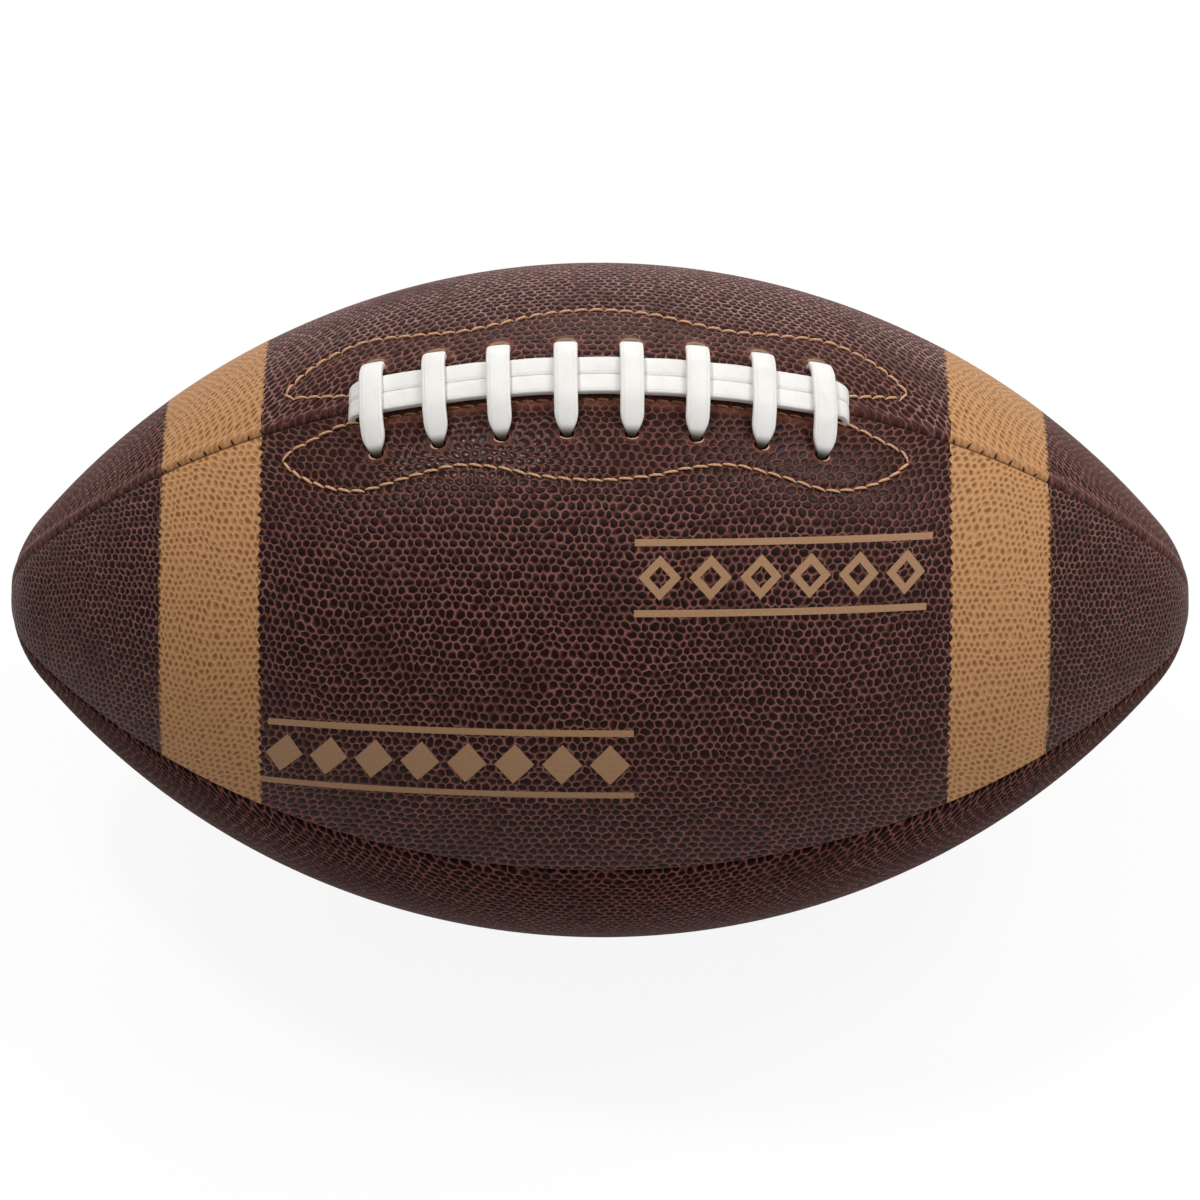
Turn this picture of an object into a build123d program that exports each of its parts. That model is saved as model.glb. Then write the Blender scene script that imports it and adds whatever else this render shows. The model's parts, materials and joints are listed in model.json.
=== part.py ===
from build123d import *
import math
import os

os.makedirs("parts", exist_ok=True)

# Driving dimensions, in millimetres.
# The outline is a long belly arc that runs tangent into a round nose at each tip.
ball_length = 288.0
ball_diameter = 165.0
nose_radius = 30.0

# Wall layers from the outside in, and the clearance between neighbouring layers.
leather_thickness = 2.1
lining_thickness = 1.0
bladder_wall = 0.65
layer_gap = 0.1

# Sewn seams: rolled leather edge, turned-in allowance, and the lock-stitch thread beside it.
seam_roll = 1.8
seam_allowance = 5.0
seam_turn_thickness = 1.6
seam_thread_diameter = 0.8
thread_sides = 4
seam_thread_end_radius = 12.0

# Pale stripes set flush into the two lace-side panels, placed from the tips.
stripe_tip_distance = 37.5
stripe_width = 24.2
stripe_thickness = 0.6

# Lace: one flat strap, two runners along the seam and cross straps over them.
lace_width = 5.7
lace_thickness = 1.8
lace_count = 8
lace_pitch = 15.4
lace_hole_offset = 14.0
lace_hole_clearance = 0.35
lace_bend_radius = 1.6
lace_rise = 0.9
lace_tail = 5.0
runner_half_length = 57.0

# Lace opening, the facings behind its edges and the guard under the lace.
slit_width = 2.0
slit_end_margin = 3.0
facing_thickness = 1.2
facing_border = 2.6
facing_inner_offset = 4.4
facing_wave_mean = 23.7
facing_wave_height = 2.8
facing_wave_length = 54.0
facing_wave_taper = 2.2
facing_shoulder_x = 54.0
facing_tip_x = 74.5
facing_tip_offset = 10.0
facing_corner_x = 60.0
facing_tuck_x = 56.0
facing_tuck_run = 3.0
facing_cheek_along = 0.6
facing_cheek_across = 0.55
facing_wave_points = 8
guard_thickness = 1.5
guard_half_width = 25.0
guard_corner_radius = 12.0

# Visible stitches that hold the facings.
stitch_pitch = 3.4
stitch_length = 2.6
stitch_width = 0.9
stitch_height = 0.6
stitch_margin = 0.35

# Needle valve at the middle of the panel that faces down and back.
needle_radius = 1.0
needle_lead_clearance = 0.5
valve_neck_radius = 3.0
valve_stem_radius = 6.0
valve_depth = 16.0
valve_flange_radius = 13.0
valve_flange_thickness = 1.6
valve_core_radius = 3.4
valve_wall = 1.6
valve_recess = 0.5
valve_hole_clearance = 0.3
valve_angle = -135.0

# Values that follow from the driving dimensions.
ball_radius = ball_diameter / 2
nose_x = ball_length / 2 - nose_radius
belly_radius = (nose_x**2 + ball_radius**2 - nose_radius**2) / (2 * (ball_radius - nose_radius))
belly_drop = belly_radius - ball_radius
nose_angle = math.atan2(belly_drop, nose_x)
far = 2 * ball_length

lining_depth = leather_thickness + layer_gap
facing_depth = lining_depth + lining_thickness + layer_gap
under_depth = facing_depth + facing_thickness + layer_gap
guard_depth = under_depth + lace_thickness + layer_gap
pocket_depth = guard_depth + guard_thickness + layer_gap
bladder_depth = facing_depth
channel_depth = leather_thickness + seam_allowance + layer_gap
channel_half_width = seam_turn_thickness + seam_thread_diameter + 2 * layer_gap

stripe_outer_x = ball_length / 2 - stripe_tip_distance
stripe_inner_x = stripe_outer_x - stripe_width

runner_height = 2 * layer_gap + stitch_height + lace_thickness / 2
cross_height = runner_height + lace_thickness + layer_gap
lace_reach = lace_thickness / 2 + lace_hole_clearance
slit_half_length = runner_half_length + lace_bend_radius + lace_reach
turn_start_x = slit_half_length + slit_end_margin
guard_half_length = turn_start_x - layer_gap
facing_end_offset = lace_width + layer_gap / 2 + lace_hole_clearance + stitch_margin + stitch_width / 2
cross_positions = [lace_pitch * (i - (lace_count - 1) / 2) for i in range(lace_count)]


# Outline of the ball at a depth below the leather's outer face.
def nose_point(depth, angle, side):
    """Point on the nose arc, with the angle measured from the long axis."""
    reach = nose_radius - depth
    return (side * (nose_x + reach * math.cos(angle)), 0, reach * math.sin(angle))


def half_outline(depth):
    """Arcs from the left tip over the top to the right tip, in the XZ plane."""
    left = ThreePointArc(
        nose_point(depth, 0, -1),
        nose_point(depth, nose_angle / 2, -1),
        nose_point(depth, nose_angle, -1),
    )
    belly = ThreePointArc(
        nose_point(depth, nose_angle, -1),
        (0, 0, ball_radius - depth),
        nose_point(depth, nose_angle, 1),
    )
    right = ThreePointArc(
        nose_point(depth, nose_angle, 1),
        nose_point(depth, nose_angle / 2, 1),
        nose_point(depth, 0, 1),
    )
    return [left, belly, right]


def envelope(depth):
    """Solid of revolution bounded by the outline at one depth."""
    axis_line = Line(nose_point(depth, 0, -1), nose_point(depth, 0, 1))
    return revolve(make_face(half_outline(depth) + [axis_line]), Axis.X)


def ring_face(outer_depth, inner_depth):
    """Half ring between two depths, in the XZ plane."""
    ends = [
        Line(nose_point(outer_depth, 0, side), nose_point(inner_depth, 0, side))
        for side in (-1, 1)
    ]
    return make_face(half_outline(outer_depth) + half_outline(inner_depth) + ends)


def quarter(outer_depth, inner_depth):
    """Quarter shell from the top seam round to the front seam."""
    return revolve(ring_face(outer_depth, inner_depth), Axis.X, 90)


def layer(outer_depth, inner_depth):
    """Whole shell between two depths."""
    return envelope(outer_depth) - envelope(inner_depth)


def outline_radius(x):
    """Radius of the leather's outer face on the belly at a station x."""
    return math.sqrt(belly_radius**2 - x**2) - belly_drop


def surface_normal(x, y):
    """Outward normal on top of the belly above a point in plan."""
    radius = outline_radius(x)
    tilt = (radius + belly_drop) / belly_radius
    height = math.sqrt(radius**2 - y**2)
    return Vector(x / belly_radius, tilt * y / radius, tilt * height / radius)


def surface_point(x, y):
    """Point on top of the belly above a point in plan."""
    return Vector(x, y, math.sqrt(outline_radius(x)**2 - y**2))


def seam_frame(x):
    """Frame on the top seam: X towards the rear, Y outwards, Z along the seam."""
    normal = surface_normal(x, 0)
    return Plane(surface_point(x, 0), (0, 1, 0), normal.cross(Vector(0, -1, 0))).location


def block(x_range, y_range, z_range):
    """Box between pairs of limits."""
    spans = [x_range, y_range, z_range]
    sizes = [high - low for low, high in spans]
    return Pos(*[(low + high) / 2 for low, high in spans]) * Box(*sizes)


# Cover: quarter shells with rolled edges and turned-in seam allowances.
def seam_groove():
    """Ring-shaped cut that rolls the leather edges along the top and bottom seams."""
    crest = ball_radius
    root = crest - seam_roll
    bulge = seam_roll * math.sqrt(0.5)
    sides = [
        ThreePointArc(
            (0, side * seam_roll, crest),
            (0, side * (seam_roll - bulge), root + bulge),
            (0, 0, root),
        )
        for side in (-1, 1)
    ]
    lid = Polyline(
        (0, -seam_roll, crest),
        (0, -seam_roll, crest + seam_roll),
        (0, seam_roll, crest + seam_roll),
        (0, seam_roll, crest),
    )
    section = make_face(sides + [lid])
    belly_turn = 90 - math.degrees(nose_angle)
    belly_axis = Axis((0, 0, -belly_drop), (0, 1, 0))
    start = section.rotate(belly_axis, -belly_turn)
    belly = revolve(start, belly_axis, 2 * belly_turn)
    nose_axis = Axis((nose_x, 0, 0), (0, 1, 0))
    tip = revolve(section.rotate(belly_axis, belly_turn), nose_axis, 2 * math.degrees(nose_angle))
    return [belly, tip, mirror(belly, Plane.XY), mirror(tip, Plane.YZ)]


def turned_seam(start_x):
    """Turned-in allowance beside the top seam of a front panel, from a station outwards."""
    ring = ring_face(leather_thickness / 2, leather_thickness + seam_allowance)
    turn = extrude(ring, seam_turn_thickness, dir=(0, -1, 0))
    if start_x > 0:
        turn -= block((-start_x, start_x), (-far, far), (0, far))
    return turn


def lower_turn():
    """Turned-in allowance beside the front seam of an upper panel."""
    return mirror(turned_seam(0), Plane.XZ).rotate(Axis.X, 90)


def cover_panel(opening_start):
    """Front upper panel; the opening start is where its top seam begins to be sewn."""
    shell = quarter(0, leather_thickness)
    shell += turned_seam(opening_start)
    shell += lower_turn()
    grooves = seam_groove()
    shell -= grooves
    return shell - [cut.rotate(Axis.X, 90) for cut in grooves]


def lining_quarter():
    """Cloth behind one panel, cut back clear of the turned-in seams."""
    cloth = quarter(lining_depth, lining_depth + lining_thickness)
    cloth -= block((-far, far), (-channel_half_width, far), (-far, far))
    return cloth - block((-far, far), (-far, far), (-far, channel_half_width))


def stripe_band(side, clearance, depth):
    """Belt round the ball where a stripe lies."""
    inner = stripe_inner_x - clearance
    outer = stripe_outer_x + clearance
    limits = (inner, outer) if side > 0 else (-outer, -inner)
    return layer(-clearance, depth) & block(limits, (-far, far), (-far, far))


# Lace and the holes it passes through.
def leg_frame(x, side):
    """Frame at a lace hole beside the seam; Y points outwards along the strap's leg."""
    radius = outline_radius(x) / surface_normal(x, 0).Z
    turn = math.degrees(lace_hole_offset / radius)
    return seam_frame(x) * Pos(0, -radius, 0) * Rot(0, 0, -side * turn) * Pos(0, radius, 0)


def runner_leg_frame(end, side):
    """Frame at a runner's end hole, on the bend's far side."""
    shift = side * (lace_width + layer_gap) / 2
    return seam_frame(end * runner_half_length) * Pos(shift, 0, end * lace_bend_radius)


def lace_slots(side):
    """Cuts through the wall for the lace's legs on one side of the seam."""
    long = lace_width + 2 * lace_hole_clearance
    short = lace_thickness + 2 * lace_hole_clearance
    tall = 2 * pocket_depth
    slots = [leg_frame(x, side) * Box(short, tall, long) for x in cross_positions]
    ends = [runner_leg_frame(end, side) * Box(long, tall, short) for end in (-1, 1)]
    return slots + ends


def slit():
    """Cut that opens the top seam under the runners."""
    half = slit_width / 2
    return block((-slit_half_length, slit_half_length), (-half, half), (0, far))


def strap_solid(lines):
    """Flat strap along tangent lines and arcs drawn edge-on in the XY plane."""
    return extrude(trace(lines, lace_thickness), lace_width / 2, both=True)


def cross_strap(x):
    """One strap over both runners, with a leg down through each hole."""
    frame = seam_frame(x)
    legs = [frame.inverse() * leg_frame(x, side) for side in (-1, 1)]
    low = -(under_depth + lace_thickness)
    points = [(leg * Pos(0, y, 0)).position for leg, y in ((legs[0], low), (legs[0], lace_rise))]
    points += [Vector(side * (lace_width + layer_gap), cross_height, 0) for side in (-1, 1)]
    points += [(leg * Pos(0, y, 0)).position for leg, y in ((legs[1], lace_rise), (legs[1], low))]
    path = FilletPolyline(points, radius=lace_bend_radius)
    return frame * strap_solid(path)


def runner_strap(side):
    """One runner along the seam, bent down through a hole at each end."""
    reach = belly_radius + runner_height
    angle = math.asin(runner_half_length / belly_radius)
    leg = under_depth + lace_thickness + runner_height - lace_bend_radius
    top = CenterArc((0, -belly_drop), reach, 90 - math.degrees(angle), 2 * math.degrees(angle))
    lines = [top]
    for end in (-1, 1):
        along = Vector(math.cos(angle), -end * math.sin(angle)) * end
        down = Vector(-end * math.sin(angle), -math.cos(angle))
        start = Vector(end * math.sin(angle), math.cos(angle)) * reach - Vector(0, belly_drop)
        corner = start + along * lace_bend_radius + down * lace_bend_radius
        lines.append(TangentArc(start, corner, tangent=along))
        lines.append(Line(corner, corner + down * leg))
    shift = side * (lace_width + layer_gap) / 2
    return Pos(0, shift, 0) * Plane.XZ.location * strap_solid(Curve() + lines)


def under_strip(start, end):
    """Straight strip in plan between two leg bottoms."""
    run = end - start
    turn = math.degrees(math.atan2(run.Y, run.X))
    length = math.hypot(run.X, run.Y) + lace_thickness
    middle = (start + end) / 2
    return Pos(middle.X, middle.Y, ball_radius) * Rot(0, 0, turn) * Box(length, lace_width, ball_radius)


def leg_bottom(frame):
    """Middle of a leg where it meets the strap inside."""
    return (frame * Pos(0, -(under_depth + lace_thickness / 2), 0)).position


def lace_strap():
    """The whole lace as one strap: runners, cross straps and the passes inside."""
    front = [leg_bottom(leg_frame(x, -1)) for x in cross_positions]
    rear = [leg_bottom(leg_frame(x, 1)) for x in cross_positions]
    ends = {(e, s): leg_bottom(runner_leg_frame(e, s)) for e in (-1, 1) for s in (-1, 1)}
    tail = Vector(0, -lace_tail, 0)
    strips = [under_strip(a, b) for a, b in zip(front, rear[1:])]
    strips.append(under_strip(ends[1, -1], ends[1, 1]))
    strips.append(under_strip(ends[-1, 1], rear[0]))
    strips.append(under_strip(ends[-1, -1], ends[-1, -1] + tail))
    strips.append(under_strip(front[-1], front[-1] + tail))
    inside = layer(under_depth, under_depth + lace_thickness) & (Part() + strips)
    return inside + [cross_strap(x) for x in cross_positions] + [runner_strap(s) for s in (-1, 1)]


# Facings behind the edges of the opening, their stitches, and the guard.
def facing_wave(x, border):
    """Distance of the facing's scalloped edge from the seam."""
    wave = facing_wave_height * math.cos(2 * math.pi * x / facing_wave_length)
    fall = facing_wave_taper * (x / facing_shoulder_x)**2
    return facing_wave_mean + wave - fall + border


def facing_outline(border):
    """Closed outline in plan of the front facing, grown by a border outside its stitches."""
    shoulder = facing_wave(facing_shoulder_x, border)
    tip = (facing_tip_x + border, facing_tip_offset)
    cheek = (
        facing_shoulder_x + facing_cheek_along * (tip[0] - facing_shoulder_x),
        tip[1] + facing_cheek_across * (shoulder - tip[1]),
    )
    inside = [
        (facing_corner_x, border - facing_end_offset),
        (facing_tuck_x, border - facing_end_offset),
        (facing_tuck_x - facing_tuck_run, border - facing_inner_offset),
    ]
    steps = range(facing_wave_points + 1)
    wave = [facing_shoulder_x * (2 * i / facing_wave_points - 1) for i in steps]
    scallop = [(x, -facing_wave(x, border)) for x in wave]
    left = [(-tip[0], -tip[1]), (-cheek[0], -cheek[1])]
    right = [(cheek[0], -cheek[1]), (tip[0], -tip[1])]
    outer = Spline(left + scallop + right)
    mirrored = [(-x, y) for x, y in reversed(inside)]
    inner = Polyline(right[1:] + inside + mirrored + left[:1])
    return outer, inner


def facing_prism(border):
    """Upright prism over the front facing's outline."""
    outer, inner = facing_outline(border)
    return extrude(make_face([outer, inner]), far)


def stitch_group():
    """Stitches on the leather along the front facing's outline."""
    stitches = []
    for line in facing_outline(0):
        for edge in line.edges():
            count = int(edge.length / stitch_pitch)
            for i in range(count):
                at = edge.position_at((i + 0.5) / count)
                along = edge.tangent_at((i + 0.5) / count)
                normal = surface_normal(at.X, at.Y)
                lift = normal * (layer_gap + stitch_height / 2)
                seat = Plane(surface_point(at.X, at.Y) + lift, along - normal * along.dot(normal), normal)
                stitches.append(seat.location * Box(stitch_length, stitch_width, stitch_height))
    return Compound(children=stitches)


def guard_prism(border):
    """Upright prism over the guard's outline."""
    size = (2 * (guard_half_length + border), 2 * (guard_half_width + border))
    return extrude(RectangleRounded(*size, guard_corner_radius), far)


def facing_pocket(border):
    """Upright prism that clears both facings."""
    half_length = facing_tip_x + facing_border + border
    half_width = facing_wave(0, facing_border) + border
    return extrude(RectangleRounded(2 * half_length, 2 * half_width, guard_corner_radius), far)


# Bladder, valve and seam threads.
def bladder_body(shrink):
    """Inflated bladder's form, grown inwards by a thickness, with channels for the seams."""
    half = channel_half_width + shrink
    core = envelope(channel_depth + shrink)
    body = envelope(bladder_depth + shrink)
    body -= block((-far, far), (-half, half), (-far, far))
    body -= block((-far, far), (-far, far), (-half, half))
    body += core
    body -= facing_pocket(layer_gap + shrink) - envelope(under_depth + shrink)
    return body - (guard_prism(layer_gap + shrink) - envelope(pocket_depth + shrink))


valve_frame = Rot(valve_angle, 0, 0)


def valve_cylinder(radius, top_depth, bottom_depth):
    """Cylinder on the valve's axis between two depths below the leather's outer face."""
    height = bottom_depth - top_depth
    middle = ball_radius - (top_depth + bottom_depth) / 2
    return valve_frame * Pos(0, 0, middle) * Cylinder(radius, height)


core_top = leather_thickness + valve_wall
core_bottom = valve_depth - valve_wall
stem_depth = lining_depth + valve_stem_radius**2 / (2 * (ball_radius - lining_depth))


def valve_housing():
    """Rubber valve body: neck, stem and the flange bonded inside the bladder."""
    flange_depth = bladder_depth + bladder_wall + layer_gap
    disc = layer(flange_depth, flange_depth + valve_flange_thickness)
    disc &= valve_cylinder(valve_flange_radius, 0, valve_depth)
    housing = valve_cylinder(valve_stem_radius, stem_depth, valve_depth) + disc
    housing += valve_cylinder(valve_neck_radius, valve_recess, valve_depth)
    housing -= valve_cylinder(needle_radius + needle_lead_clearance, 0, 2 * valve_depth)
    return housing - valve_cylinder(valve_core_radius + layer_gap, core_top, core_bottom)


def valve_plug():
    """Self-sealing core with the passage for the needle."""
    core = valve_cylinder(valve_core_radius, core_top + layer_gap, core_bottom - layer_gap)
    return core - valve_cylinder(needle_radius, 0, valve_depth)


def seam_threads():
    """Needle thread and bobbin thread on both sides of the top seam."""
    depth = leather_thickness + seam_allowance / 2
    reach = nose_radius - depth
    stop = math.asin(seam_thread_end_radius / reach)
    arcs = [
        ThreePointArc(
            nose_point(depth, stop, -1),
            nose_point(depth, (stop + nose_angle) / 2, -1),
            nose_point(depth, nose_angle, -1),
        ),
        half_outline(depth)[1],
        ThreePointArc(
            nose_point(depth, nose_angle, 1),
            nose_point(depth, (stop + nose_angle) / 2, 1),
            nose_point(depth, stop, 1),
        ),
    ]
    path = Wire(arcs)
    start = Plane(path @ 0, z_dir=path % 0)
    thread = sweep(start * RegularPolygon(seam_thread_diameter / 2, thread_sides), path)
    shift = seam_turn_thickness + layer_gap + seam_thread_diameter / 2
    return [Pos(0, side * shift, 0) * thread for side in (-1, 1)]


# Assembly of the named pieces.
pieces = {}

upper_blank = cover_panel(turn_start_x)
upper = upper_blank - lace_slots(-1) - slit()
lower = cover_panel(0)
cloth = lining_quarter()
upper_cloth = cloth - lace_slots(-1) - slit()
for side, word in ((-1, "left"), (1, "right")):
    stripe = stripe_band(side, 0, stripe_thickness) & upper_blank
    stripe = stripe - lace_slots(-1) - slit()
    pieces[f"stripe_front_{word}"] = stripe
    pieces[f"stripe_rear_{word}"] = mirror(stripe, Plane.XZ)
for side in (-1, 1):
    upper -= stripe_band(side, layer_gap, stripe_thickness + layer_gap)

valve_hole = valve_cylinder(valve_neck_radius + valve_hole_clearance, -valve_recess, valve_depth)
stem_hole = valve_cylinder(valve_stem_radius + valve_hole_clearance, 0, valve_depth)
lower_front = lower.rotate(Axis.X, 90)
cloth_lower_front = cloth.rotate(Axis.X, 90)
pieces["panel_upper_front"] = upper
pieces["panel_upper_rear"] = mirror(upper, Plane.XZ)
pieces["panel_lower_front"] = lower_front
pieces["panel_lower_rear"] = mirror(lower_front, Plane.XZ) - valve_hole
pieces["lining_upper_front"] = upper_cloth
pieces["lining_upper_rear"] = mirror(upper_cloth, Plane.XZ)
pieces["lining_lower_front"] = cloth_lower_front
pieces["lining_lower_rear"] = mirror(cloth_lower_front, Plane.XZ) - stem_hole

facing = layer(facing_depth, facing_depth + facing_thickness) & facing_prism(facing_border)
facing -= lace_slots(-1)
pieces["lace_facing_front"] = facing
pieces["lace_facing_rear"] = mirror(facing, Plane.XZ)
stitches = stitch_group()
pieces["facing_thread_front"] = stitches
pieces["facing_thread_rear"] = mirror(stitches, Plane.XZ)
pieces["lace"] = lace_strap()
pieces["lace_guard"] = layer(guard_depth, guard_depth + guard_thickness) & guard_prism(0)

bladder = bladder_body(0) - bladder_body(bladder_wall)
pieces["bladder"] = bladder - valve_cylinder(valve_stem_radius + layer_gap, 0, valve_depth)
pieces["valve_body"] = valve_housing()
pieces["valve_core"] = valve_plug()

threads = Compound(children=seam_threads())
for side, word in ((-1, "left"), (1, "right")):
    limits = (turn_start_x, far) if side > 0 else (-far, -turn_start_x)
    run = [thread & block(limits, (-far, far), (0, far)) for thread in seam_threads()]
    pieces[f"seam_thread_top_{word}"] = Compound(children=run)
for turn, word in ((90, "front"), (180, "bottom"), (270, "rear")):
    pieces[f"seam_thread_{word}"] = threads.rotate(Axis.X, turn)

for name, piece in pieces.items():
    export_step(piece, f"parts/{name}.step")
print(f"{len(pieces)} pieces, belly radius {belly_radius:.2f}")
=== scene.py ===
import json
import math
from collections import namedtuple

import bpy
import numpy as np
from mathutils import Matrix, Vector


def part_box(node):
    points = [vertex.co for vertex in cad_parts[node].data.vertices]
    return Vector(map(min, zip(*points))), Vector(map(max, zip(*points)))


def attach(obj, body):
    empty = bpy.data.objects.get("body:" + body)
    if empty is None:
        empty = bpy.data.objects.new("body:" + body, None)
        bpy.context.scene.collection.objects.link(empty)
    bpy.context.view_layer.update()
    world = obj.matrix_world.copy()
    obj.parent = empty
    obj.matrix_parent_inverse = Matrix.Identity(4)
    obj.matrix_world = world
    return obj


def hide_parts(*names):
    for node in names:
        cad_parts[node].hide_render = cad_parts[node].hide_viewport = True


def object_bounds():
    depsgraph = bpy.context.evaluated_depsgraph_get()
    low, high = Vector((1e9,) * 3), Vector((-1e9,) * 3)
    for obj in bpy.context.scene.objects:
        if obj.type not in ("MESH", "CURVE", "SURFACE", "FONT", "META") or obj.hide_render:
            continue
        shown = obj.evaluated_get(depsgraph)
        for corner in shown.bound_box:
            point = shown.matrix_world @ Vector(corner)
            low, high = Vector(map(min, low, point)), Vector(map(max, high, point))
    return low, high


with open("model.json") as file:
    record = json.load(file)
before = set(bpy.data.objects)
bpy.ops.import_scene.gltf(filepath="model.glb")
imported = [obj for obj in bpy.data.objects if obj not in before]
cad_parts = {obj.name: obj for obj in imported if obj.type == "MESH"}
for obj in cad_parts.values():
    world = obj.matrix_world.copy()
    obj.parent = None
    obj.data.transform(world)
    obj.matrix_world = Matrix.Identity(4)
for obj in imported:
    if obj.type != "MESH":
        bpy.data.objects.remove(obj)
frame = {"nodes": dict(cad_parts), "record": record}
cad_box = [[float(value) for value in corner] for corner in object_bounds()]

# Sizes in metres. The ball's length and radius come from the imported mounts.
MM = 0.001
mounts = {mount["name"]: mount for mount in frame["record"]["mounts"]}
HALF_LENGTH = -mounts["nose_seat"]["pos_m"][0]
BALL_RADIUS = -mounts["rest_line"]["pos_m"][2]
NOSE_RADIUS = 30 * MM
LEATHER = 2.1 * MM

# Outline: a belly arc that runs tangent into a nose arc.
NOSE_X = HALF_LENGTH - NOSE_RADIUS
BELLY_RADIUS = (NOSE_X**2 + BALL_RADIUS**2 - NOSE_RADIUS**2) / (2 * (BALL_RADIUS - NOSE_RADIUS))
BELLY_DROP = BELLY_RADIUS - BALL_RADIUS
BELLY_TURN = math.atan2(NOSE_X, BELLY_DROP)
BELLY_RUN = BELLY_RADIUS * BELLY_TURN
HALF_RUN = BELLY_RUN + NOSE_RADIUS * (math.pi / 2 - BELLY_TURN)

# A fade is 0 at its limit and 1 a width further on; a negative width leads the other way.
Fade = namedtuple("Fade", "limit width")

# Seams: the flank is the turned-in edge below the roll, and it closes the seam.
FLANK = 2.6 * MM
FLANK_ROWS = 2
SEAM_SHUT = 0.004 * MM
SUNK_SHUT = 0.4
TURN_IN = 1.5 * MM
EDGE_ZONE = 8 * MM
LEAST_ZONES = 2.2
ROLL_STEPS = 8
SHOULDER_STEPS = 10
SHOULDER_POWER = 1.6
INNER_ROWS = 10
TIP_MARGIN = 0.5 * MM
TICK_PITCH = 4.0 * MM
PUCKER_REACH = 2.2 * MM
STRETCH_REACH = 3.2 * MM

# Each edge: half gap, roll radius, lift, the lift's reach, pebble stretch, pucker and bead height.
Edge = namedtuple("Edge", "gap roll lift reach stretch pucker bead")
LIP = Edge(0.15 * MM, 0.8 * MM, 0.2 * MM, 5 * MM, 0.0, 0.0, 0.0)
TUCKED = Edge(0.5 * MM, 1.3 * MM, -0.45 * MM, 3 * MM, 0.45, 0.06 * MM, 0.0)
ROLLED = Edge(0.2 * MM, 1.7 * MM, 0.25 * MM, 5 * MM, 0.30, 0.05 * MM, 0.36 * MM)
LACED = Edge(0.2 * MM, 0.7 * MM, -0.1 * MM, 3 * MM, 0.0, 0.0, 0.0)
BEAD_MIDDLE = 1.9 * MM
BEAD_HALF = 1.2 * MM
VALLEY_MIDDLE = BEAD_MIDDLE + 2.2 * BEAD_HALF
VALLEY_HALF = 1.1 * BEAD_HALF
VALLEY_SHARE = 0.4

# Lace: each cross strap has its own shift and lean along the seam, in millimetres.
LACE_WIDTH = 5.7 * MM
LACE_THICKNESS = 1.75 * MM
LACE_COUNT = 8
LACE_PITCH = 15.4 * MM
LACE_SHIFT = [0.4, -0.4, -0.75, -0.5, -0.5, -0.55, -0.55, -2.0]
LACE_LEAN = [0.4, 0.5, 0.4, 0.2, 0.15, 0.0, 0.1, 0.55]
LACE_HALF_SPAN = 14 * MM
OPENING_HALF = 1.0 * MM
OPENING_ALONG = Fade(59 * MM, -3 * MM)
OPENING_SPREAD = 2 * MM

# Lace holes: ellipses on each side of the seam; what lies round them is in units of the ellipse.
Hole = namedtuple("Hole", "sign offset long short lift squeeze bare")
HOLES = {
    "front": Hole(1, 13.75 * MM, 1.75 * MM, 1.4 * MM, -0.12 * MM, 1.0, Fade(1.6, -0.7)),
    "rear": Hole(-1, 13.3 * MM, 2.7 * MM, 1.9 * MM, 0.34 * MM, 1.4, Fade(1.85, -0.5)),
}
HOLE_LIFT_NEAR = 0.22 * MM
HOLE_LIFT_HALF = 0.8
HOLE_OUTWARD = Fade(-0.6, 1.2)
HOLE_BARE_NEAR = 0.35
HOLE_SMOOTH = Fade(2.4, -1.2)
HOLE_SIDES = 28
PLUG_HEIGHTS = (-5 * MM, 0.0, 3 * MM)
VALVE_ANGLE = math.radians(225)
VALVE_HOLE = 3.3 * MM

# Stitched outline: runs and distances from the lace seam, in millimetres. Dips: depths and half widths.
STITCH_MIDDLE = (0, 26.1)
STITCH_OUTER = [
    (13, 24.7), (22.5, 22.0), (32.5, 20.2), (43, 21.2), (54.5, 22.7), (61, 21.5), (67.5, 18.5), (73, 14.4),
]
STITCH_TIP = (76.9, 10.0)
STITCH_INNER = [(75.0, 7.7), (70, 6.1), (65, 4.6), (60.5, 3.7), (52, 4.0), (26, 4.1)]
STITCH_SHIFT = -1.3 * MM
STITCH_REAR_EXTRA = 1.6 * MM
STITCH_DIPS = [(0.34 * MM, 0.95 * MM), (0.12 * MM, 2.6 * MM)]
LINE_STEPS = 8
LINE_SKIP = 4
FACING_RUN = 90 * MM
FACING_OFFSET = 36 * MM

# Zones of the leather: flatter pebbles beside the lace with a painted sheen on their tops, leather under
# the runners, the bead, the tips, and a painted highlight along the seam edges.
DENSE_ACROSS = Fade(34 * MM, -14 * MM)
DENSE_ALONG = Fade(95 * MM, -25 * MM)
UNDER_ACROSS = Fade(7.5 * MM, -2.5 * MM)
UNDER_ALONG = Fade(62 * MM, -4 * MM)
UNDER_SMOOTH = 0.85
UNDER_BARE = 0.45
BEAD_ACROSS = 2.6 * MM
BEAD_ALONG = Fade(58 * MM, 4 * MM)
BEAD_SMOOTH = 0.95
TIP_ALONG = Fade(95 * MM, 20 * MM)
# Painted highlight: a thin lighter line along the seam edges, where the panel's lip catches light.
EDGE_GLEAM_ACROSS = 0.7 * MM
EDGE_GLEAM_SHARE = 0.35

# Pebbles stand in rows of hexagons, which close up towards the tips.
PEBBLE_PITCH = 2.15 * MM
PEBBLE_ROW = math.sqrt(3) / 2
CLOSE_START = 100 * MM
CLOSE_REACH = 58 * MM
CLOSE_SHARE = 0.45

# A distance past every feature, and the least turn of a cone that is unrolled.
FAR_AWAY = 9.0
LEAST_TURN = 1e-4


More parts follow.
